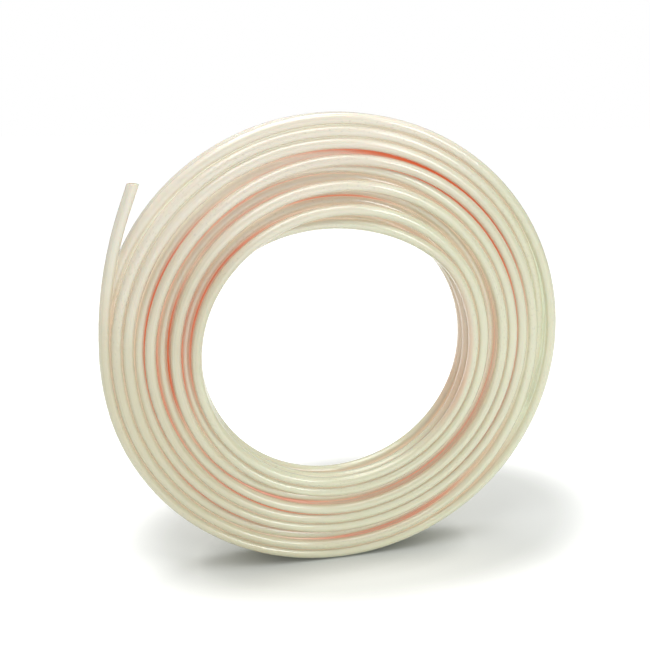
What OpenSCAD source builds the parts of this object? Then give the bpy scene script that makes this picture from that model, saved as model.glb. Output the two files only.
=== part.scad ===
// Coil of plastic pipe, standing on its rim.
// The wound turns are one turned solid, whose grooves show each layer and
// each turn; the free end of the pipe leaves its outermost layer.
// Frame: Z up, the coil's axis along Y, its front end face toward -Y, and the
// origin under the middle of the coil, where its rim touches the ground.

/* [Pipe] */
// Outside diameter of the pipe
pipe_od = 16; // [10:0.5:25]
// Wall of the pipe
pipe_wall = 2; // [1:0.1:3]

/* [Coil] */
// Diameter of the bore, between the crests of its turns
bore_d = 410; // [300:5:600]
// Number of layers, from the bore to the rim
layers = 9; // [4:1:14]
// Number of turns side by side in a layer
columns = 4; // [2:1:8]
// Slack between layers
layer_gap = 0.15; // [0.05:0.05:2]
// Slack between turns that lie side by side
turn_gap = 0.2; // [0.1:0.1:1]
// How deep the grooves between turns show
groove_depth = 6.5; // [3:0.5:7]

/* [Free end] */
// Radius that the free end springs out to
free_radius = 600; // [450:10:1000]
// Length of its arc, from where it leaves the coil
free_arc = 232; // [150:1:300]
// Straight length at its tip
tip_length = 40; // [20:1:80]
// Length of open bore behind the straight tip
open_arc = 90; // [40:1:120]
// How deep the end is sunk in the rim where it leaves
free_sink = 2; // [0.5:0.5:4]
// How far it lies behind the front turn
free_setback = 1; // [0.5:0.5:4]

/* [Hidden] */
$fn = 96;

pipe_r = pipe_od / 2;
pipe_bore = pipe_od - 2 * pipe_wall;
layer_pitch = pipe_od + layer_gap;
column_pitch = pipe_od + turn_gap;
inner_r = bore_d / 2 + pipe_r;
outer_r = inner_r + (layers - 1) * layer_pitch;
coil_r = outer_r + pipe_r;
face_y = (columns - 1) / 2 * column_pitch;
groove_fill = pipe_r - groove_depth;
cut_over = 1;

// Angles of the free end, seen from the front: 180 is the coil's left side
leave_angle = 180;
arc_angle = free_arc / free_radius * 180 / PI;
open_angle = open_arc / free_radius * 180 / PI;
tip_angle = leave_angle - arc_angle;

function layer_r(i) = inner_r + (i - 1) * layer_pitch;
function column_y(j) = -face_y + (j - 1) * column_pitch;

// Half section of the coil, its axis at x = 0: a core up to the bottoms of the
// grooves, and the turns that show on its rim, in its bore and on its end faces
module coil_section() {
    translate([inner_r - groove_fill, -face_y - groove_fill])
        square([outer_r - inner_r + 2 * groove_fill, 2 * (face_y + groove_fill)]);
    for (i = [1 : layers], y = [-face_y, face_y])
        translate([layer_r(i), y])
            circle(r = pipe_r);
    for (r = [inner_r, outer_r], j = [1 : columns])
        translate([r, column_y(j)])
            circle(r = pipe_r);
}

// Angles run from the right-hand side upward, as seen from the front
module coil_frame() {
    translate([0, 0, coil_r])
        rotate([90, 0, 0])
            children();
}

module free_end() {
    translate([free_radius - outer_r + free_sink, 0, face_y - free_setback])
        rotate([0, 0, tip_angle])
            difference() {
                bent_rod(pipe_od, arc_angle, tip_length);
                bent_rod(pipe_bore, open_angle, tip_length + cut_over);
            }
}

// A rod along the free end: an arc from where its tip turns straight, and the
// straight length beyond
module bent_rod(d, angle, straight) {
    rotate_extrude(angle = angle)
        translate([free_radius, 0])
            circle(d = d);
    translate([free_radius, 0, 0])
        rotate([90, 0, 0])
            linear_extrude(height = straight)
                circle(d = d);
}

module pipe_coil() {
    color("#dcd8b9")
        coil_frame() {
            rotate_extrude()
                coil_section();
            free_end();
        }
}

pipe_coil();
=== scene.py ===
"""Coil of plastic heating pipe, standing on its rim.

One pipe is wound in nine layers of four turns and springs off the rim at its
free end. The script plans its route, settles its turns against each other,
skins it, gives it its finish and sets it in a pale studio. Lengths are in
metres; angles along the coil are in degrees, counted from its right-hand side
upward as seen from the front.
"""

from __future__ import annotations

import logging
import math
from dataclasses import dataclass, field
from enum import Enum

import bpy
import numpy as np
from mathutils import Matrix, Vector

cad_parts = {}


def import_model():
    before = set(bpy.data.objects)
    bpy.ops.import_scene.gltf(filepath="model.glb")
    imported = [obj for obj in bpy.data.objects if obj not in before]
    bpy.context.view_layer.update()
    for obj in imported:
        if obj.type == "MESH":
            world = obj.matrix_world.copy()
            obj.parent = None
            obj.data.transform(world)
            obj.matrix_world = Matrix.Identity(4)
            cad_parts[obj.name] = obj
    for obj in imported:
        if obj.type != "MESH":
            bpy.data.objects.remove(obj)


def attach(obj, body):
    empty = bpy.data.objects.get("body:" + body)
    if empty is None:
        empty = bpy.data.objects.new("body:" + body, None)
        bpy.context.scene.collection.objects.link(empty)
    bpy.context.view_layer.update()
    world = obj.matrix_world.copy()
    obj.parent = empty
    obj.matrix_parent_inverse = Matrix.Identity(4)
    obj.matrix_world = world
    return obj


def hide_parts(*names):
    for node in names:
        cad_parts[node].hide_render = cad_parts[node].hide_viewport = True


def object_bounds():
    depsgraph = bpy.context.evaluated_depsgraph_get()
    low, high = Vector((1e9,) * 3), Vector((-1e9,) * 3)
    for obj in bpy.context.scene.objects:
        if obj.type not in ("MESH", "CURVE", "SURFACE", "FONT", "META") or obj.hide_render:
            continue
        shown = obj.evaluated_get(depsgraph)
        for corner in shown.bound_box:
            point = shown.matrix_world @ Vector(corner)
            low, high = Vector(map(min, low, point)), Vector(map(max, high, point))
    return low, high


LOG = logging.getLogger("pipe_coil")
TURN = 360.0

Triple = tuple[float, float, float]
Colour = tuple[float, float, float, float]
Socket = bpy.types.NodeSocket
BLACK: Colour = (0.0, 0.0, 0.0, 1.0)
WHITE: Colour = (1.0, 1.0, 1.0, 1.0)


def ease(x: np.ndarray | float) -> np.ndarray:
    """Return a smooth ramp from 0 to 1 with level ends, clamped outside."""
    x = np.clip(x, 0.0, 1.0)
    return x * x * x * (x * (6.0 * x - 15.0) + 10.0)


def swell(angle: np.ndarray, middle: float, span: float) -> np.ndarray:
    """Return a smooth hump in an angle, 1 at its middle and 0 beyond its span."""
    away = np.abs((angle - middle + TURN / 2) % TURN - TURN / 2)
    return ease(1.0 - away / span)


def on_section(points: np.ndarray) -> np.ndarray:
    """Return points seen from the coil's centre as (distance from its axis, y)."""
    return np.stack([np.hypot(points[..., 0], points[..., 2]), points[..., 1]], axis=-1)


class Step(Enum):
    """One move of the pipe, as layers climbed and columns gone back."""

    TOWARD_BACK = (0, 1)
    TOWARD_FRONT = (0, -1)
    CLIMB = (1, 0)


@dataclass(frozen=True)
class Crossing:
    """Where the pipe reaches the front face in one layer and leaves it in the next.

    Attributes:
        arrive: Angle at which the lower layer's last turn reaches the face.
        climb: Angle at which that turn climbs to the layer above.
        leave: Angle at which the upper layer's first turn goes back in.
        arrive_span: Angle that the arrival takes.
        climb_span: Angle that the climb takes.
        leave_span: Angle that the leaving takes.
    """

    arrive: float
    climb: float = 0.0
    leave: float = 0.0
    arrive_span: float = 70.0
    climb_span: float = 90.0
    leave_span: float = 70.0


@dataclass(frozen=True)
class Lean:
    """A stretch where turns of the front face lie nearer the rim or the bore.

    Attributes:
        layers: Lowest and highest layer that leans.
        angle: Middle of the stretch.
        span: Half its length, as an angle.
        shift: How far the turns lie outward; inward is negative.
    """

    layers: tuple[float, float]
    angle: float
    span: float
    shift: float


@dataclass(frozen=True)
class Sag:
    """A stretch where a loose turn hangs down into the bore.

    Attributes:
        turn: Which turn it is, counted from 0 at the start end.
        angle: Middle of the stretch.
        span: Half its length, as an angle.
        drop: How far it hangs.
    """

    turn: int
    angle: float
    span: float
    drop: float


@dataclass(frozen=True)
class WarmSeam:
    """A stretch of groove between two layers with a painted orange glow.

    Attributes:
        height: Height of the groove, in layers from the innermost.
        angle: Middle of the stretch.
        span: Half its length, as an angle.
        strength: How strongly it glows, from 0 to 1, or up to 2 where the
            light also comes through the flanks of the pipe.
        reach: How far from the groove the glow ends, in layers.
    """

    height: float
    angle: float
    span: float
    strength: float
    reach: float = 0.8

    def glow(self, height: np.ndarray, angle: np.ndarray) -> np.ndarray:
        """Return how strongly the seam glows at points of the coil."""
        near = ease(1.0 - np.abs(height - self.height) / self.reach)
        return self.strength * near * swell(angle, self.angle, self.span)


@dataclass(frozen=True)
class Move:
    """A move of the pipe from its column and layer to the next.

    Attributes:
        run: Angle run to its middle.
        span: Angle that it takes.
        step: Which move it is.
    """

    run: float
    span: float
    step: Step


@dataclass
class Itinerary:
    """The moves of the pipe, written down while its angle runs on.

    Attributes:
        start: Angle of the start end.
        at: Angle that the pipe has come to, which falls as it runs on.
        moves: The moves up to there.
    """

    start: float
    at: float
    moves: list[Move] = field(default_factory=list)

    @property
    def run(self) -> float:
        """Angle run so far."""
        return self.start - self.at

    def up_to(self, angle: float) -> float:
        """Return how far short of a whole turn the pipe passes an angle again."""
        return (angle - self.at) % TURN

    def go(self, drift: float, span: float, step: Step) -> None:
        """Run on by a whole turn less a drift, and make a move there.

        Args:
            drift: How far short of a whole turn the move is.
            span: Angle that the move takes.
            step: The move.
        """
        self.at -= TURN - drift
        self.moves.append(Move(self.run, span, step))


@dataclass(frozen=True)
class Route:
    """The wound part of the pipe, station by station.

    Attributes:
        start_angle: Angle of the start end.
        whole_run: Angle run up to where the free end leaves.
        run: Angle run at each station.
        place: (radius, y) of each station.
        held: Mask of the stations that stay where they are planned.
    """

    start_angle: float
    whole_run: float
    run: np.ndarray
    place: np.ndarray
    held: np.ndarray


@dataclass
class Winding:
    """How the pipe is wound, and the free end beyond its turns.

    Attributes:
        pipe_od: Outside diameter of the pipe.
        inner_r: Radius of the innermost layer's centreline.
        layer_pitch: Distance between layers.
        column_pitch: Distance between turns that lie side by side.
        layers: Number of layers.
        columns: Number of turns side by side in a layer.
        stations: Places along one turn at which the route is worked out.
        start_drift: How far short of a whole turn the first layer's moves are.
        column_span: Angle that a move inside the coil takes.
        leave_angle: Angle at which the free end leaves the rim.
        free_radius: Radius that the free end springs out to.
        free_arc: Length of its arc.
        free_tip: Straight length at its tip.
        free_sink: How deep it is sunk in the rim where it leaves.
        free_setback: How far it lies behind the front turn.
        free_run: Angle in which the last turn comes to that sink and setback.
        held_run: Angle before the free end in which the pipe is held.
        crossings: Where layers change on the front face, from the bore up.
        sags: Where loose turns hang.
        leans: Where turns of the front face lean.
    """

    pipe_od: float = 0.016
    inner_r: float = 0.213
    layer_pitch: float = 0.01615
    column_pitch: float = 0.0162
    layers: int = 9
    columns: int = 4
    stations: int = 108
    start_drift: float = 90.0
    column_span: float = 70.0
    leave_angle: float = 180.0
    free_radius: float = 0.600
    free_arc: float = 0.232
    free_tip: float = 0.040
    free_sink: float = 0.002
    free_setback: float = 0.001
    free_run: float = 40.0
    held_run: float = 12.0
    crossings: tuple[Crossing, ...] = (
        Crossing(arrive=82.0, climb=92.0, leave=212.0, arrive_span=60.0),
        Crossing(arrive=235.0, climb=86.0, leave=205.0),
        Crossing(arrive=78.0, climb=92.0, leave=168.0),
        Crossing(arrive=260.0, climb=325.0, leave=20.0, climb_span=75.0),
        Crossing(arrive=145.0),
    )
    sags: tuple[Sag, ...] = (
        Sag(turn=1, angle=84.0, span=60.0, drop=0.008),
        Sag(turn=2, angle=84.0, span=60.0, drop=0.021),
        Sag(turn=3, angle=84.0, span=60.0, drop=0.005),
    )
    leans: tuple[Lean, ...] = (
        Lean(layers=(3, 3), angle=190.0, span=50.0, shift=-0.005),
        Lean(layers=(5, 5), angle=205.0, span=60.0, shift=0.004),
        Lean(layers=(4, 5), angle=60.0, span=50.0, shift=-0.003),
    )

    @property
    def outer_r(self) -> float:
        """Radius of the outermost layer's centreline."""
        return self.inner_r + (self.layers - 1) * self.layer_pitch

    @property
    def face_y(self) -> float:
        """Distance of the first and last columns from the middle plane."""
        return (self.columns - 1) / 2 * self.column_pitch

    def itinerary(self) -> Itinerary:
        """Lay out every move of the pipe along its length.

        Returns:
            The moves, run on to where the free end leaves.
        """
        across = self.columns - 1
        inside = [Step.TOWARD_BACK] * (across - 1) + [Step.CLIMB]
        inside += [Step.TOWARD_FRONT] * (across - 1)
        first = self.crossings[0]
        start = first.arrive + across * (TURN - self.start_drift)
        trip = Itinerary(start, start)
        for _ in range(across - 1):
            trip.go(self.start_drift, self.column_span, Step.TOWARD_FRONT)
        trip.go(self.start_drift, first.arrive_span, Step.TOWARD_FRONT)
        for lower, upper in zip(self.crossings, self.crossings[1:]):
            trip.go(trip.up_to(lower.climb), lower.climb_span, Step.CLIMB)
            trip.go(trip.up_to(lower.leave), lower.leave_span, Step.TOWARD_BACK)
            drift = trip.up_to(upper.arrive) / (len(inside) + 1)
            for step in inside:
                trip.go(drift, self.column_span, step)
            trip.go(drift, upper.arrive_span, Step.TOWARD_FRONT)
        trip.at -= TURN - trip.up_to(self.leave_angle)
        return trip

    def plan(self) -> Route:
        """Place the pipe's stations by layer and column.

        Returns:
            The route, before its turns settle.
        """
        trip = self.itinerary()
        whole = trip.run
        count = int(whole / TURN * self.stations) + 1
        run = np.arange(count) * TURN / self.stations
        layer = np.ones(count)
        column = np.full(count, float(self.columns))
        for move in trip.moves:
            share = ease((run - move.run + move.span / 2) / move.span)
            layer += move.step.value[0] * share
            column += move.step.value[1] * share
        radius = self.inner_r + (layer - 1) * self.layer_pitch
        y = -self.face_y + (column - 1) * self.column_pitch
        angle, front = trip.start - run, ease(2.0 - column)
        for lean in self.leans:
            lowest, highest = lean.layers
            among = ease(layer - lowest + 1.0) * ease(highest + 1.0 - layer)
            radius += lean.shift * among * front * swell(angle, lean.angle, lean.span)
        for sag in self.sags:
            lowest_run = (trip.start - sag.angle) % TURN + sag.turn * TURN
            radius -= sag.drop * ease(1.0 - np.abs(run - lowest_run) / sag.span)
        freed = ease((run - whole + self.free_run) / self.free_run)
        radius -= self.free_sink * freed
        y += self.free_setback * freed
        place = np.stack([radius, y], axis=1)
        return Route(trip.start, whole, run, place, run > whole - self.held_run)


@dataclass
class Settler:
    """Pushes turns that overlap apart, and keeps the pipe smooth.

    Attributes:
        winding: The winding whose turns settle.
        route: Their planned route.
        rounds: Rounds of pulling, smoothing and pushing.
        pushes: Pushes in each of these rounds.
        last_pushes: Pushes that follow them.
        pull: Share of the way to its plan that a station goes back in the
            first round; it fades out over the rounds.
        smoothing: Share of its bend that a station gives up in a round.
        push_share: Share of an overlap that a push takes away.
        last_share: The same for the last pushes.
        far_off: Where the places of missing stations lie.
        least_reach: Keeps two stations in one place from dividing by zero.
    """

    winding: Winding
    route: Route
    rounds: int = 300
    pushes: int = 2
    last_pushes: int = 60
    pull: float = 0.03
    smoothing: float = 0.2
    push_share: float = 0.5
    last_share: float = 0.45
    far_off: float = 1e3
    least_reach: float = 1e-9

    def __post_init__(self) -> None:
        """Find which turns can meet at each station, and how low each may lie."""
        stations, count = self.winding.stations, len(self.route.run)
        self.turns = -(-count // stations)
        real = (np.arange(self.turns * stations) < count).reshape(self.turns, stations)
        others = ~np.eye(self.turns, dtype=bool)[:, :, None]
        self.can_meet = real[:, None, :] & real[None, :, :] & others
        self.lowest = np.minimum(self.route.place[:, 0], self.winding.inner_r)

    def push(self, place: np.ndarray, share: float) -> np.ndarray:
        """Move overlapping turns apart.

        Args:
            place: (radius, y) of each station.
            share: Share of each overlap to take away.

        Returns:
            The new (radius, y) of each station.
        """
        w, held, count = self.winding, self.route.held, len(place)
        grid = np.full((self.turns * w.stations, 2), self.far_off)
        grid[:count] = place
        grid = grid.reshape(self.turns, w.stations, 2)
        gap = grid[:, None] - grid[None, :]
        reach = np.sqrt((gap**2).sum(-1)) + self.least_reach
        lap = np.where(self.can_meet, np.clip(w.pipe_od - reach, 0.0, None), 0.0)
        touching = np.maximum((lap > 0).sum(1), 1)
        shove = (gap * (lap / reach)[..., None]).sum(1)
        grid += share * shove / np.sqrt(touching)[..., None]
        place = grid.reshape(-1, 2)[:count]
        place[:, 0] = np.clip(place[:, 0], self.lowest, w.outer_r)
        place[:, 1] = np.clip(place[:, 1], -w.face_y, w.face_y)
        place[held] = self.route.place[held]
        return place

    def settle(self) -> np.ndarray:
        """Let the turns settle against each other.

        Returns:
            The settled (radius, y) of each station.
        """
        planned = self.route.place
        place = planned.copy()
        for number in range(self.rounds):
            place += self.pull * (1 - number / self.rounds) * (planned - place)
            bend = np.zeros_like(place)
            bend[1:-1] = place[:-2] + place[2:] - 2 * place[1:-1]
            place += self.smoothing * bend
            for _ in range(self.pushes):
                place = self.push(place, self.push_share)
        for _ in range(self.last_pushes):
            place = self.push(place, self.last_share)
        return place


@dataclass
class Sheets:
    """Rings of points, bands of quads between them, and their measures.

    Attributes:
        sides: Points in a ring.
        row_length: How many rings a row of the bake map holds.
        points: Lots of rings, each as (ring, side, xyz).
        reach: Length of pipe up to each of their rings.
        openness: How much open air each of their points looks out on.
        warmth: How strongly the painted orange glow shows at each of their points.
        faces: Lots of quads, as the numbers of their points.
        around: Each corner's place round the pipe, from 0 to 1.
        ring: Each corner's place along its row of the bake map, from 0 to 1.
        row: The row of the bake map that each corner is in.
    """

    sides: int
    row_length: int
    points: list[np.ndarray] = field(default_factory=list)
    reach: list[np.ndarray] = field(default_factory=list)
    openness: list[np.ndarray] = field(default_factory=list)
    warmth: list[np.ndarray] = field(default_factory=list)
    faces: list[np.ndarray] = field(default_factory=list)
    around: list[np.ndarray] = field(default_factory=list)
    ring: list[np.ndarray] = field(default_factory=list)
    row: list[np.ndarray] = field(default_factory=list)

    def add_rings(
        self, points: np.ndarray, reach: np.ndarray, openness: np.ndarray, warmth: np.ndarray
    ) -> np.ndarray:
        """Add rings of points.

        Args:
            points: The points as (ring, side, xyz).
            reach: Length of pipe up to each ring.
            openness: The openness of each (ring, side).
            warmth: The warmth of each (ring, side).

        Returns:
            The number of each ring's first point.
        """
        first = sum(len(lot) for lot in self.points)
        self.points.append(points)
        self.reach.append(reach)
        self.openness.append(openness)
        self.warmth.append(warmth)
        return (first + np.arange(len(points))) * self.sides

    def add_band(self, starts: np.ndarray, first_row: int, flip: bool = False) -> None:
        """Add the quads between neighbouring rings.

        Args:
            starts: The number of each ring's first point.
            first_row: Row of the bake map that the band starts in.
            flip: Whether the faces look the other way.
        """
        side, step = np.arange(self.sides), np.arange(len(starts) - 1)
        after = (side + 1) % self.sides
        a, b = starts[:-1, None], starts[1:, None]
        faces = np.stack([a + side, a + after, b + after, b + side], axis=-1)
        around = np.stack([side, side + 1, side + 1, side], axis=-1)
        full_rows = step // self.row_length
        ring = np.stack([step, step, step + 1, step + 1], axis=-1)
        ring -= (full_rows * self.row_length)[:, None]
        order = slice(None, None, -1 if flip else 1)
        for lots, lot in (
            (self.faces, faces),
            (self.around, around / self.sides),
            (self.ring, ring[:, None] / self.row_length),
            (self.row, (first_row + full_rows)[:, None, None]),
        ):
            lots.append(np.broadcast_to(lot, faces.shape).reshape(-1, 4)[:, order])


@dataclass
class PipeSkin:
    """Turns the settled route into the skin of the pipe, with both ends cut open.

    Attributes:
        winding: How the pipe is wound.
        centre: Centre of the coil.
        finish: The pipe's finish.
        wall: Wall of the pipe.
        sides: Points in a ring of the skin.
        mouth: Length of bore that is open at each end.
        mouth_openness: Openness of the bore at its mouth and at its bottom; as it falls, the
            bore gets more painted shade and glow deeper in.
        look_steps: Directions that a point looks in to find its openness.
        look_reach: Largest angle between these directions and the normal.
        tip_slant: Slant of the free end's cut.
        end_margin: Margin at both ends of a row of the bake map.
        row_margin: Margin at both edges of a row, as a share of it.
        cap_place: Place on the maps of the bores' bottoms.
        warm_seams: Where the grooves get a painted orange glow.
    """

    winding: Winding
    centre: Vector
    finish: MilkyPipe
    wall: float = 0.002
    sides: int = 24
    mouth: float = 0.130
    mouth_openness: tuple[float, float] = (0.75, 0.15)
    look_steps: int = 9
    look_reach: float = 80.0
    tip_slant: float = 18.0
    end_margin: float = 0.004
    row_margin: float = 0.03
    cap_place: float = 0.999
    warm_seams: tuple[WarmSeam, ...] = (
        WarmSeam(0.5, 358.0, 85.0, 1.8),
        WarmSeam(1.5, 155.0, 70.0, 0.8),
        WarmSeam(2.5, 92.0, 30.0, 0.8),
        WarmSeam(2.5, 172.0, 45.0, 1.0),
        WarmSeam(3.5, 120.0, 40.0, 0.4),
        WarmSeam(3.5, 175.0, 40.0, 1.0),
        WarmSeam(3.5, 240.0, 50.0, 0.7),
        WarmSeam(3.5, 315.0, 90.0, 0.6),
        WarmSeam(4.5, 125.0, 60.0, 0.6),
        WarmSeam(4.5, 185.0, 50.0, 0.5),
        WarmSeam(4.5, 245.0, 45.0, 0.9),
        WarmSeam(5.5, 50.0, 110.0, 1.0),
        WarmSeam(5.5, 165.0, 60.0, 1.0),
        WarmSeam(5.5, 345.0, 60.0, 0.9),
        WarmSeam(6.5, 60.0, 80.0, 1.0),
        WarmSeam(6.5, 240.0, 45.0, 1.3),
        WarmSeam(7.5, 285.0, 40.0, 0.7),
    )

    def centreline(self, route: Route, place: np.ndarray) -> np.ndarray:
        """Find the points of the pipe's centreline, the free end included.

        Args:
            route: The route.
            place: Settled (radius, y) of each of its stations.

        Returns:
            Points in metres, one row each, in the part's frame.
        """
        w = self.winding
        angle = np.radians(route.start_angle - route.run)
        radius, y = place[:, 0], place[:, 1]
        wound = np.stack([radius * np.cos(angle), y, radius * np.sin(angle)], axis=1)
        step = w.outer_r * math.radians(TURN / w.stations)
        gone = step - w.outer_r * math.radians(route.whole_run - route.run[-1])
        length = w.free_arc + w.free_tip
        along = np.linspace(gone, length, round((length - gone) / step) + 1)
        bent = np.minimum(along, w.free_arc)
        turn, past = math.pi - bent / w.free_radius, along - bent
        across = w.free_radius * (1 + np.cos(turn)) - w.outer_r + w.free_sink
        free = np.stack(
            [
                across + past * np.sin(turn),
                np.full_like(along, -w.face_y + w.free_setback),
                w.free_radius * np.sin(turn) - past * np.cos(turn),
            ],
            axis=1,
        )
        return np.concatenate([wound, free]) + np.array(self.centre)

    def rings(self, line: np.ndarray, radius: float) -> np.ndarray:
        """Place one ring round each point of the centreline.

        Args:
            line: The centreline's points.
            radius: Radius of the rings.

        Returns:
            Points as (ring, side, xyz). Side 0 faces away from the coil's axis.
        """
        tangent = np.gradient(line, axis=0)
        tangent /= np.linalg.norm(tangent, axis=1)[:, None]
        outward = (line - np.array(self.centre)) * np.array([1.0, 0.0, 1.0])
        outward -= (outward * tangent).sum(1)[:, None] * tangent
        outward /= np.linalg.norm(outward, axis=1)[:, None]
        across = np.cross(tangent, outward)
        bearing = np.arange(self.sides) * math.tau / self.sides
        over, aside = np.cos(bearing)[:, None], np.sin(bearing)[:, None]
        made = line[:, None] + radius * (over * outward[:, None] + aside * across[:, None])
        slant = radius * math.tan(math.radians(self.tip_slant)) * (1.0 + np.cos(bearing))
        made[-1] -= slant[:, None] * tangent[-1]
        return made

    def warmth(self, skin: np.ndarray) -> np.ndarray:
        """Find how strongly the painted orange glow shows in the grooves at each point of the
        skin.

        Args:
            skin: The skin's points as (ring, side, xyz).

        Returns:
            One value for each (ring, side), 0 where nothing glows.
        """
        off = skin - np.array(self.centre)
        axis_distance = np.hypot(off[..., 0], off[..., 2])
        height = (axis_distance - self.winding.inner_r) / self.winding.layer_pitch + 1.0
        angle = np.degrees(np.arctan2(off[..., 2], off[..., 0]))
        return np.max([seam.glow(height, angle) for seam in self.warm_seams], axis=0)

    def openness(self, line: np.ndarray, skin: np.ndarray) -> np.ndarray:
        """Find how much open air each point of the skin looks out on.

        Args:
            line: The centreline's points.
            skin: The skin's points as (ring, side, xyz).

        Returns:
            One value from 0, shut in, to 1, open, for each (ring, side).
        """
        stations, radius = self.winding.stations, self.winding.pipe_od / 2
        centre = np.array(self.centre)
        off = line - centre
        axis_points, skin_points = on_section(off), on_section(skin - centre)
        angle = np.arctan2(off[:, 2], off[:, 0]) % math.tau
        slot = np.rint(angle / math.tau * stations).astype(int) % stations
        spread = np.radians(np.linspace(-self.look_reach, self.look_reach, self.look_steps))
        weight = np.cos(spread) / np.cos(spread).sum()
        result = np.ones(skin.shape[:2])
        for number in range(stations):
            rings = np.flatnonzero(slot == number)
            discs, start = axis_points[rings], skin_points[rings]
            normal = start - discs[:, None]
            bearing = np.arctan2(normal[..., 1], normal[..., 0])[..., None] + spread
            look = np.stack([np.cos(bearing), np.sin(bearing)], axis=-1)
            to_disc = discs - start[:, :, None]
            ahead = np.einsum("rsnd,rsld->rsln", to_disc, look)
            square = (to_disc**2).sum(-1)[:, :, None] - ahead**2
            own = np.eye(len(rings), dtype=bool)[:, None, None]
            hit = (ahead > 0) & (square < radius**2) & ~own
            result[rings] = 1.0 - (hit.any(-1) * weight).sum(-1)
        return result

    def build(self, name: str) -> bpy.types.Object:
        """Wind, settle and skin the pipe.

        Args:
            name: Name of the new object.

        Returns:
            The object, with its maps and measures on its mesh.
        """
        w = self.winding
        route = w.plan()
        line = self.centreline(route, Settler(w, route).settle())
        hop = np.linalg.norm(np.diff(line, axis=0), axis=1)
        along = np.concatenate([[0.0], np.cumsum(hop)])
        LOG.info("pipe: %.2f m of it in %.1f turns", along[-1], route.run[-1] / TURN)

        sheets = Sheets(self.sides, w.stations)
        skin = self.rings(line, w.pipe_od / 2)
        outside = sheets.add_rings(skin, along, self.openness(line, skin), self.warmth(skin))
        sheets.add_band(outside, 0)

        last = len(line) - 1
        rows = -(-last // w.stations)
        bore = self.rings(line, w.pipe_od / 2 - self.wall)
        deep = int((along <= self.mouth).sum())
        # Painted shade: the bore's openness falls toward its bottom, so it is painted darker
        # deeper in.
        shade = np.linspace(*self.mouth_openness, deep)[:, None].repeat(self.sides, axis=1)
        caps: list[list[int]] = []
        rims: list[int] = []
        for order, flip in ((np.arange(deep), True), (last - np.arange(deep), False)):
            inside = sheets.add_rings(bore[order], along[order], shade, np.zeros_like(shade))
            starts = np.concatenate([outside[order[:1]], inside])
            sheets.add_band(starts, rows, flip)
            rims += starts[:2].tolist()
            cap = (inside[-1] + np.arange(self.sides)).tolist()
            caps.append(cap[::-1] if flip else cap)
            rows += 1

        mesh = bpy.data.meshes.new(name)
        points = np.concatenate(sheets.points).reshape(-1, 3)
        mesh.from_pydata(points.tolist(), [], np.concatenate(sheets.faces).tolist() + caps)
        self.map_skin(mesh, sheets, rows)
        for measure, lots in (("openness", sheets.openness), ("warmth", sheets.warmth)):
            attribute = mesh.attributes.new(measure, "FLOAT", "POINT")
            values = np.concatenate(lots).astype(np.float32).reshape(-1)
            attribute.data.foreach_set("value", values)
        mesh.shade_smooth()
        self.sharpen(mesh, rims)
        made = bpy.data.objects.new(name, mesh)
        bpy.context.scene.collection.objects.link(made)
        return made

    def map_skin(self, mesh: bpy.types.Mesh, sheets: Sheets, rows: int) -> None:
        """Write the map that bakes use, a row a turn, and the one along the pipe.

        Args:
            mesh: The mesh that takes them.
            sheets: Its quads, in order, with their corners' places.
            rows: How many rows the bake map has.
        """
        quads, around = np.concatenate(sheets.faces), np.concatenate(sheets.around)
        ring, row = np.concatenate(sheets.ring), np.concatenate(sheets.row)
        reach = np.repeat(np.concatenate(sheets.reach), self.sides)
        along_row = self.end_margin + (1.0 - 2.0 * self.end_margin) * ring
        across_row = self.row_margin + (1.0 - 2.0 * self.row_margin) * around
        bake = np.stack([along_row, (row + across_row) / rows], axis=-1)
        pipe = np.stack([around, reach[quads]], axis=-1)
        spare = len(mesh.loops) - quads.size
        for name, corners in (("OFBake", bake), ("PipeMap", pipe)):
            places = np.concatenate([corners.reshape(-1), np.full(spare * 2, self.cap_place)])
            layer = mesh.uv_layers.new(name=name)
            layer.data.foreach_set("uv", places.astype(np.float32))

    def sharpen(self, mesh: bpy.types.Mesh, rims: list[int]) -> None:
        """Mark the edges of the two cut ends as sharp.

        Args:
            mesh: The skin.
            rims: The number of the first point of each ring whose edges are sharp.
        """
        wanted = {
            frozenset((start + side, start + (side + 1) % self.sides))
            for start in rims
            for side in range(self.sides)
        }
        for edge in mesh.edges:
            if frozenset(edge.vertices) in wanted:
                edge.use_edge_sharp = True

    def dress(self, pipe: bpy.types.Object) -> None:
        """Give the pipe its finish."""
        pipe.data.materials.append(self.finish.material())


@dataclass(frozen=True)
class Ramp:
    """A smooth rise by a measure.

    Attributes:
        start: Where it is still 0.
        end: Where it has come to its top.
        top: How high it rises.
    """

    start: float
    end: float
    top: float = 1.0


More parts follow.
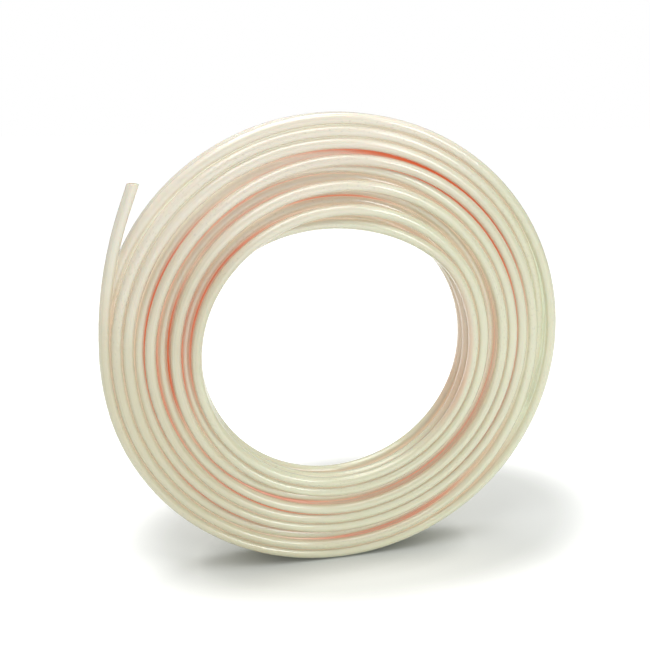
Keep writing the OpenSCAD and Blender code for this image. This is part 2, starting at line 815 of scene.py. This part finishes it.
class NodeBench:
    """Adds and joins the nodes of one material or world."""

    def __init__(self, owner: bpy.types.Material | bpy.types.World) -> None:
        """Clear the owner's tree and keep it at hand.

        Args:
            owner: The material or world.
        """
        owner.use_nodes = True
        self.tree = owner.node_tree
        self.tree.nodes.clear()

    def add(self, kind: str, **settings: object) -> bpy.types.Node:
        """Add a node.

        Args:
            kind: Its type, without the ShaderNode prefix.
            **settings: Its own properties.

        Returns:
            The node.
        """
        node = self.tree.nodes.new("ShaderNode" + kind)
        for key, value in settings.items():
            setattr(node, key, value)
        return node

    def feed(self, node: bpy.types.Node, **inputs: object) -> bpy.types.Node:
        """Set or link a node's inputs, named with underscores for spaces.

        Args:
            node: The node.
            **inputs: Values, or sockets to link from. A name such as i1 is
                the input of that number.

        Returns:
            The same node.
        """
        for key, value in inputs.items():
            numbered = key[0] == "i" and key[1:].isdigit()
            socket = node.inputs[int(key[1:]) if numbered else key.replace("_", " ")]
            if isinstance(value, Socket):
                self.tree.links.new(value, socket)
            else:
                socket.default_value = value
        return node

    def measure(self, name: str) -> Socket:
        """Return a measure that is stored on the mesh."""
        return self.add("Attribute", attribute_name=name).outputs["Fac"]

    def work(self, node: bpy.types.Node, *values: object) -> bpy.types.NodeOutputs:
        """Set or link a node's first inputs in their order, and return its outputs."""
        return self.feed(node, **{f"i{k}": v for k, v in enumerate(values)}).outputs

    def math(self, operation: str, *values: object, clamp: bool = False) -> Socket:
        """Return the result of a Math node on values or sockets."""
        node = self.add("Math", operation=operation, use_clamp=clamp)
        return self.work(node, *values)[0]

    def vector(self, operation: str, *values: object) -> bpy.types.NodeOutputs:
        """Return the outputs of a Vector Math node on values or sockets."""
        return self.work(self.add("VectorMath", operation=operation), *values)

    def blend(self, share: object, a: object, b: object) -> Socket:
        """Return colour a blended toward colour b by a share."""
        node = self.add("Mix", data_type="RGBA", clamp_factor=True)
        return self.feed(node, i0=share, i6=a, i7=b).outputs[2]

    def ramp(self, value: object, ramp: Ramp) -> Socket:
        """Return where a value stands on a ramp."""
        node = self.add("MapRange", interpolation_type="SMOOTHSTEP")
        return self.work(node, value, ramp.start, ramp.end, 0.0, ramp.top)[0]

    def noise(self, place: object, scale: float, detail: float) -> Socket:
        """Return soft noise over a place."""
        node = self.add("TexNoise")
        return self.feed(node, Vector=place, Scale=scale, Detail=detail).outputs[0]

    def stretched_noise(self, place: object, scale: Triple, detail: float) -> Socket:
        """Return soft noise over a place that is first scaled along its axes."""
        scaled = self.feed(self.add("Mapping"), Vector=place, Scale=scale)
        return self.noise(scaled.outputs[0], 1.0, detail)


def linear(level: int) -> float:
    """Return a screen level of 0 to 255 as a linear one."""
    share = level / 255
    return share / 12.92 if share <= 0.04045 else ((share + 0.055) / 1.055) ** 2.4


def tone(red: int, green: int, blue: int) -> Colour:
    """Return a screen colour of 0 to 255 as a linear one."""
    return (linear(red), linear(green), linear(blue), 1.0)


@dataclass(frozen=True)
class MilkyPipe:
    """Finish of the pipe: milky cream plastic with painted light and shade, and a painted
    orange glow where it is shut in.

    Attributes:
        cream: Its colour in the streaks along the pipe.
        green_cream: Its colour low on the coil.
        painted_light_cream: Painted light: a lighter pinkish cream high on the coil, toward
            the left.
        painted_shade_olive: Painted shade: a darker yellowish cream toward the lower left, and
            in a patch on the inner left.
        tan: Painted shade: tan on grooves that are half open.
        painted_blush: Painted shade: pinkish tan on grooves that are nearly shut; also a
            painted glow round warm seams.
        painted_glow_ember: Painted glow: the orange of the warm seams.
        speckle: Colour of the flecks.
        warm_glow: Painted glow: light that the pipe emits in its shaded grooves, standing in
            for light through the milky plastic.
        pale_glow: The same in the pale part of the coil.
        red_glow: The same in the warm seams.
        drift_scale: Scale of the noise that the edge of the painted light wanders with.
        drift_share: How far it wanders.
        slope_right: What the way right adds to the slope, beside the way up.
        painted_light_slope: Where the painted light shows, by the slope.
        pale_above: The pale part high on the coil, where the painted groove shade fades, by
            the slope.
        pale_right: The same toward the right, by the way right.
        corner_up: What the way up adds to the way right, for the painted shade at the lower
            left.
        corner: The painted shade at the lower left corner.
        shade_nook_place: Middle of the patch of painted shade on the inner left.
        shade_nook: That patch, by distance from its middle.
        streak_scale: Scale of the streaks round and along the pipe.
        streak_share: How much the streaks show.
        wander_scale: Scale of the noise that breaks up the warm seams.
        wander: How much that noise counts, and what it leaves in any case.
        shade_fade: How much of the painted groove shade the pale part loses.
        tan_shade: The tan painted shade, by openness.
        blush_shade: The pinkish tan painted shade, by openness.
        seam_blush_share: How much pinkish tan is painted round the warm seams, as part of
            their painted glow.
        ajar: The weak outer part of the painted glow in the warm seams, by openness.
        shut: Their strong inner part, by openness.
        flank_heat: How much the painted glow through the flanks colours them orange.
        shine: Where the painted glow is emitted, by openness.
        flank_shine: How much of it is emitted on the flanks.
        dash_scale: Scale of the flecks round and along the pipe.
        patch_scale: Scale of the patches that they come in.
        fleck: The flecks, by their noise.
        patch: The patches, by theirs.
        fleck_share: How much the flecks show.
        roughness: Middle roughness.
        roughness_swing: How far the streaks change it.
        milk: Share of the light that goes under the skin.
        milk_depth: How deep each colour goes.
    """

    cream: Colour = tone(232, 229, 206)
    green_cream: Colour = tone(225, 225, 194)
    painted_light_cream: Colour = tone(243, 234, 217)
    painted_shade_olive: Colour = tone(205, 197, 160)
    tan: Colour = tone(224, 210, 190)
    painted_blush: Colour = tone(212, 187, 164)
    painted_glow_ember: Colour = tone(222, 130, 90)
    speckle: Colour = tone(170, 160, 140)
    warm_glow: Colour = tone(134, 128, 118)
    pale_glow: Colour = tone(130, 140, 138)
    red_glow: Colour = tone(128, 78, 51)

    drift_scale: float = 3.2
    drift_share: float = 0.25
    slope_right: float = -0.5
    painted_light_slope: Ramp = Ramp(0.57, 0.80)
    pale_above: Ramp = Ramp(0.56, 0.70)
    pale_right: Ramp = Ramp(0.25, 0.32)
    corner_up: float = 0.6
    corner: Ramp = Ramp(0.02, -0.13, top=0.72)
    shade_nook_place: Triple = (-0.20, 0.0, 0.42)
    shade_nook: Ramp = Ramp(0.17, 0.05, top=0.5)

    streak_scale: Triple = (14.0, 1.3, 1.0)
    streak_share: float = 0.35

    wander_scale: float = 4.5
    wander: tuple[float, float] = (0.8, 0.6)
    shade_fade: float = 0.7
    tan_shade: Ramp = Ramp(0.90, 0.50, top=0.50)
    blush_shade: Ramp = Ramp(0.60, 0.20, top=0.40)
    seam_blush_share: float = 0.25
    ajar: Ramp = Ramp(0.80, 0.40, top=0.08)
    shut: Ramp = Ramp(0.33, 0.15, top=0.92)
    flank_heat: float = 0.35
    shine: Ramp = Ramp(0.52, 0.08)
    flank_shine: float = 0.5

    dash_scale: Triple = (26.0, 180.0, 1.0)
    patch_scale: float = 2.3
    fleck: Ramp = Ramp(0.60, 0.68)
    patch: Ramp = Ramp(0.48, 0.58)
    fleck_share: float = 0.22

    roughness: float = 0.28
    roughness_swing: float = 0.05
    milk: float = 0.30
    milk_depth: Triple = (0.004, 0.0025, 0.0015)

    def broad_tones(self, bench: NodeBench, spot: Socket) -> tuple[Socket, Socket]:
        """Tint the greenish cream with painted light and shade: a lighter pinkish cream high
        toward the left, and a darker yellowish cream toward the lower left and in a patch on
        the inner left.

        Args:
            bench: Where the nodes go.
            spot: Place on the coil.

        Returns:
            The colour, and a mask of the pale part of the coil, where the painted groove shade
            fades.
        """
        sides = bench.feed(bench.add("SeparateXYZ"), i0=spot)
        right, up = sides.outputs[0], sides.outputs[2]
        # Painted light: the coil is painted a lighter pinkish cream high up toward the left,
        # with a wandering edge.
        drift = bench.noise(spot, self.drift_scale, 2.0)
        slope = bench.math("MULTIPLY_ADD", right, self.slope_right, up)
        wandering = bench.math("MULTIPLY_ADD", drift, self.drift_share, slope)
        skin = bench.blend(bench.ramp(wandering, self.painted_light_slope), self.green_cream, self.painted_light_cream)
        # Painted shade: a darker yellowish cream toward the lower left corner and in a patch
        # on the inner left.
        upper_right = bench.math("MULTIPLY_ADD", up, self.corner_up, right)
        corner = bench.ramp(upper_right, self.corner)
        away = bench.vector("DISTANCE", spot, self.shade_nook_place)["Value"]
        shade_nook = bench.ramp(away, self.shade_nook)
        skin = bench.blend(bench.math("MAXIMUM", corner, shade_nook), skin, self.painted_shade_olive)
        # The pale part, high up and toward the right, is where the painted groove shade fades.
        above, beside = bench.ramp(slope, self.pale_above), bench.ramp(right, self.pale_right)
        return skin, bench.math("MAXIMUM", above, beside)

    def grooves(
        self, bench: NodeBench, skin: Socket, spot: Socket, pale: Socket
    ) -> tuple[Socket, Socket]:
        """Paint shade in tan and pinkish tan into shut-in flanks, and paint an orange glow and
        an emitted glow into them.

        Args:
            bench: Where the nodes go.
            skin: Colour of the skin in the open.
            spot: Place on the coil.
            pale: Mask of the pale part of the coil, where the painted groove shade fades.

        Returns:
            The colour with its painted shade and glow, and the colour of the emitted painted
            glow.
        """
        openness = bench.measure("openness")
        wander = bench.noise(spot, self.wander_scale, 0.0)
        wander = bench.math("MULTIPLY_ADD", wander, *self.wander)
        warmth = bench.math("MULTIPLY", bench.measure("warmth"), wander)
        flank_light = bench.math("SUBTRACT", warmth, 1.0, clamp=True)

        # Painted shade: grooves are painted tan and pinkish tan by how shut in they are, less
        # so in the pale part.
        shade_kept = bench.math("MULTIPLY_ADD", pale, -self.shade_fade, 1.0)
        for ramp, colour in ((self.tan_shade, self.tan), (self.blush_shade, self.painted_blush)):
            share = bench.math("MULTIPLY", bench.ramp(openness, ramp), shade_kept)
            skin = bench.blend(share, skin, colour)
        # Painted glow: a pinkish tint round the warm seams.
        seam_blush = bench.math("MULTIPLY", warmth, self.seam_blush_share, clamp=True)
        skin = bench.blend(seam_blush, skin, self.painted_blush)

        # Painted glow: the warm seams are painted orange, most strongly where they are most
        # shut in.
        ajar, shut = bench.ramp(openness, self.ajar), bench.ramp(openness, self.shut)
        painted_glow_share = bench.math("MULTIPLY", bench.math("ADD", ajar, shut), warmth, clamp=True)
        painted_glow_share = bench.math("MAXIMUM", painted_glow_share, bench.math("MULTIPLY", flank_light, self.flank_heat))
        skin = bench.blend(painted_glow_share, skin, self.painted_glow_ember)
        # Painted glow: light emitted in the shaded grooves, greyer in the pale part and redder
        # in the warm seams.
        glow = bench.blend(pale, self.warm_glow, self.pale_glow)
        glow = bench.blend(painted_glow_share, glow, self.red_glow)
        shine = bench.math("MULTIPLY", flank_light, self.flank_shine)
        shine = bench.math("MAXIMUM", bench.ramp(openness, self.shine), shine)
        return skin, bench.blend(shine, BLACK, glow)

    def flecks(self, bench: NodeBench, skin: Socket, pipe_map: Socket) -> Socket:
        """Scatter short pale grey dashes along the pipe, as worn print leaves.

        Args:
            bench: Where the nodes go.
            skin: Colour of the skin.
            pipe_map: Place round and along the pipe.

        Returns:
            The colour with the flecks on it.
        """
        dashes = bench.stretched_noise(pipe_map, self.dash_scale, 1.0)
        patches = bench.noise(pipe_map, self.patch_scale, 0.0)
        fleck, patch = bench.ramp(dashes, self.fleck), bench.ramp(patches, self.patch)
        share = bench.math("MULTIPLY", bench.math("MULTIPLY", fleck, patch), self.fleck_share)
        return bench.blend(share, skin, self.speckle)

    def material(self) -> bpy.types.Material:
        """Build the material.

        Returns:
            The pipe's material.
        """
        made = bpy.data.materials.new("milky pipe")
        bench = NodeBench(made)
        spot = bench.add("TexCoord").outputs["Object"]
        pipe_map = bench.add("UVMap", uv_map="PipeMap").outputs[0]
        skin, pale = self.broad_tones(bench, spot)
        streak = bench.stretched_noise(pipe_map, self.streak_scale, 3.0)
        streaks = bench.math("MULTIPLY", streak, self.streak_share)
        skin = bench.blend(streaks, skin, self.cream)
        skin, glow = self.grooves(bench, skin, spot, pale)
        skin = self.flecks(bench, skin, pipe_map)
        smoothest, swing = self.roughness - self.roughness_swing, 2.0 * self.roughness_swing
        gloss = bench.math("MULTIPLY_ADD", streak, swing, smoothest)
        grain = bench.feed(bench.add("Bump"), Strength=0.05, Distance=0.0004, Height=streak)
        body = bench.feed(
            bench.add("BsdfPrincipled"),
            Base_Color=skin,
            Roughness=gloss,
            Normal=grain.outputs[0],
            Subsurface_Weight=self.milk,
            Subsurface_Radius=self.milk_depth,
            Subsurface_Scale=1.0,
            IOR=1.5,
            Coat_Weight=1.0,
            Coat_Roughness=0.08,
            Coat_IOR=1.65,
            # The emission is painted glow in the grooves.
            Emission_Color=glow,
            Emission_Strength=1.0,
        )
        bench.feed(bench.add("OutputMaterial"), Surface=body.outputs[0])
        return made


@dataclass(frozen=True)
class PaleFloor:
    """Floor that is white to the camera but for the shadow round the coil, with a painted
    shadow darkening its colour right under the coil.

    Attributes:
        half: Half its width.
        ground: Its colour.
        contact_shadow: Painted shadow: its darker colour right under the coil.
        contact_reach: How far from the coil that painted shadow reaches.
        contact_power: How fast it fades out.
        pool_scale: Scale of the oval round the coil in which the shadow shows.
        pool_offset: Offset of the oval's middle, after scaling.
        pool_edge: The white, from the edge of the oval out.
        least_white: White inside the oval.
    """

    half: float = 12.0
    ground: Colour = (0.93, 0.945, 0.92, 1.0)
    contact_shadow: Colour = (0.42, 0.44, 0.42, 1.0)
    contact_reach: float = 0.07
    contact_power: float = 1.5
    pool_scale: Triple = (1.1, 1.9, 1.0)
    pool_offset: Triple = (-0.085, -0.15, 0.0)
    pool_edge: Ramp = Ramp(0.36, 0.60, top=0.65)
    least_white: float = 0.02

    def paint(self) -> bpy.types.Material:
        """Build the floor's material.

        Returns:
            A matt ground with a painted shadow right under the coil, and a white glow
            that only the camera and reflections see.
        """
        made = bpy.data.materials.new("floor paint")
        bench = NodeBench(made)
        # Painted shadow: ambient occlusion darkens the ground's colour right under the coil.
        corners = bench.add("AmbientOcclusion", samples=16)
        bench.feed(corners, Color=WHITE, Distance=self.contact_reach)
        clear = bench.math("POWER", corners.outputs["AO"], self.contact_power)
        ground = bench.blend(clear, self.contact_shadow, self.ground)
        matt = bench.feed(bench.add("BsdfDiffuse"), Color=ground)
        spot = bench.add("TexCoord").outputs["Object"]
        pool = bench.vector("MULTIPLY_ADD", spot, self.pool_scale, self.pool_offset)[0]
        edge = bench.ramp(bench.vector("LENGTH", pool)["Value"], self.pool_edge)
        strength = bench.math("ADD", edge, self.least_white)
        glow = bench.feed(bench.add("Emission"), Color=WHITE, Strength=strength)
        path = bench.add("LightPath").outputs
        seen = bench.math("MAXIMUM", path["Is Camera Ray"], path["Is Glossy Ray"])
        seen = bench.math("MAXIMUM", seen, path["Is Transmission Ray"])
        white = bench.feed(bench.add("MixShader"), i0=seen, i2=glow.outputs[0])
        both = bench.feed(bench.add("AddShader"), i0=matt.outputs[0], i1=white.outputs[0])
        bench.feed(bench.add("OutputMaterial"), Surface=both.outputs[0])
        return made

    def lay(self) -> bpy.types.Object:
        """Lay the floor.

        Returns:
            The floor.
        """
        a = self.half
        mesh = bpy.data.meshes.new("floor")
        mesh.from_pydata([(-a, -a, 0), (a, -a, 0), (a, a, 0), (-a, a, 0)], [], [(0, 1, 2, 3)])
        mesh.materials.append(self.paint())
        made = bpy.data.objects.new("floor", mesh)
        bpy.context.scene.collection.objects.link(made)
        return made


@dataclass(frozen=True)
class SoftBox:
    """An area lamp.

    Attributes:
        name: Its name.
        at: Its place.
        size: Its width and height.
        watts: Its power.
    """

    name: str
    at: Triple
    size: tuple[float, float]
    watts: float

    def hang(self, target: Vector) -> None:
        """Hang the lamp.

        Args:
            target: What it looks at.
        """
        light = bpy.data.lights.new(self.name, "AREA")
        light.shape, light.size, light.size_y = "RECTANGLE", *self.size
        light.energy = self.watts
        made = bpy.data.objects.new(self.name, light)
        made.location = self.at
        made.rotation_euler = (target - Vector(self.at)).to_track_quat("-Z", "Y").to_euler()
        bpy.context.scene.collection.objects.link(made)


@dataclass
class Studio:
    """Lamps, pale air and camera.

    Attributes:
        target: What the lamps and the camera look at.
        distance: How far the camera stands from it.
        azimuth: Angle of the camera to the right of the front.
        elevation: Angle of the camera above the target.
        focal_share: Focal length as a share of the sensor's width.
        shift: How far the sensor is moved right and up.
        air: Strength of the light from the air.
        lamps: The lamps.
    """

    target: Vector
    distance: float = 1.19
    azimuth: float = -12.1
    elevation: float = 18.8
    focal_share: float = 1.1923
    shift: tuple[float, float] = (-0.018, 0.0389)
    air: float = 0.395
    lamps: tuple[SoftBox, ...] = (
        SoftBox("soft box overhead in front", (-0.3, -0.6, 2.4), (1.6, 0.8), 13.5),
        SoftBox("soft box overhead behind", (-0.3, 0.5, 2.4), (1.6, 0.8), 15.0),
        SoftBox("soft box over left", (-0.9, -1.1, 2.1), (0.9, 0.6), 4.0),
        SoftBox("soft box over right", (0.9, -1.1, 2.1), (0.9, 0.6), 3.0),
        SoftBox("tall box at front right", (0.95, -2.0, 1.0), (0.45, 1.3), 10.0),
    )

    def light(self) -> None:
        """Hang the lamps and set the pale air, which is white to the camera."""
        for lamp in self.lamps:
            lamp.hang(self.target)
        world = bpy.data.worlds.new("pale air")
        bpy.context.scene.world = world
        bench = NodeBench(world)
        path = bench.add("LightPath").outputs
        seen = bench.math("MAXIMUM", path["Is Camera Ray"], path["Is Transmission Ray"])
        soft = bench.feed(bench.add("Background"), Color=WHITE, Strength=self.air)
        white = bench.feed(bench.add("Background"), Color=WHITE, Strength=1.0)
        sky = bench.add("MixShader")
        bench.feed(sky, i0=seen, i1=soft.outputs[0], i2=white.outputs[0])
        bench.feed(bench.add("OutputWorld"), Surface=sky.outputs[0])

    def camera(self) -> None:
        """Stand the camera before the coil, a little to its left and above it."""
        a, e = math.radians(self.azimuth), math.radians(self.elevation)
        back = Vector((math.sin(a) * math.cos(e), -math.cos(a) * math.cos(e), math.sin(e)))
        data = bpy.data.cameras.new("camera")
        data.sensor_width = 36.0
        data.lens = self.focal_share * data.sensor_width
        data.shift_x, data.shift_y = self.shift
        made = bpy.data.objects.new("camera", data)
        made.location = self.target + back * self.distance
        made.rotation_mode = "QUATERNION"
        made.rotation_quaternion = (-back).to_track_quat("-Z", "Y")
        bpy.context.scene.collection.objects.link(made)
        bpy.context.scene.camera = made


def main() -> None:
    """Build the coil and its studio."""
    logging.basicConfig(level=logging.INFO, format="%(name)s: %(message)s")
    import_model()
    solid_box = [list(corner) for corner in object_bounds()]
    low, high = (Vector(corner) for corner in solid_box)
    centre = (low + high) / 2
    coil = PipeSkin(Winding(), centre, MilkyPipe())
    pipe = coil.build("wound_pipe")
    coil.dress(pipe)
    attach(pipe, "root")
    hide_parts("pipe_coil")
    LOG.info("%s: %d faces", pipe.name, len(pipe.data.polygons))
    PaleFloor().lay()
    studio = Studio(centre)
    studio.light()
    studio.camera()
    bpy.context.scene.view_settings.view_transform = "Standard"


if __name__ == "__main__":
    main()
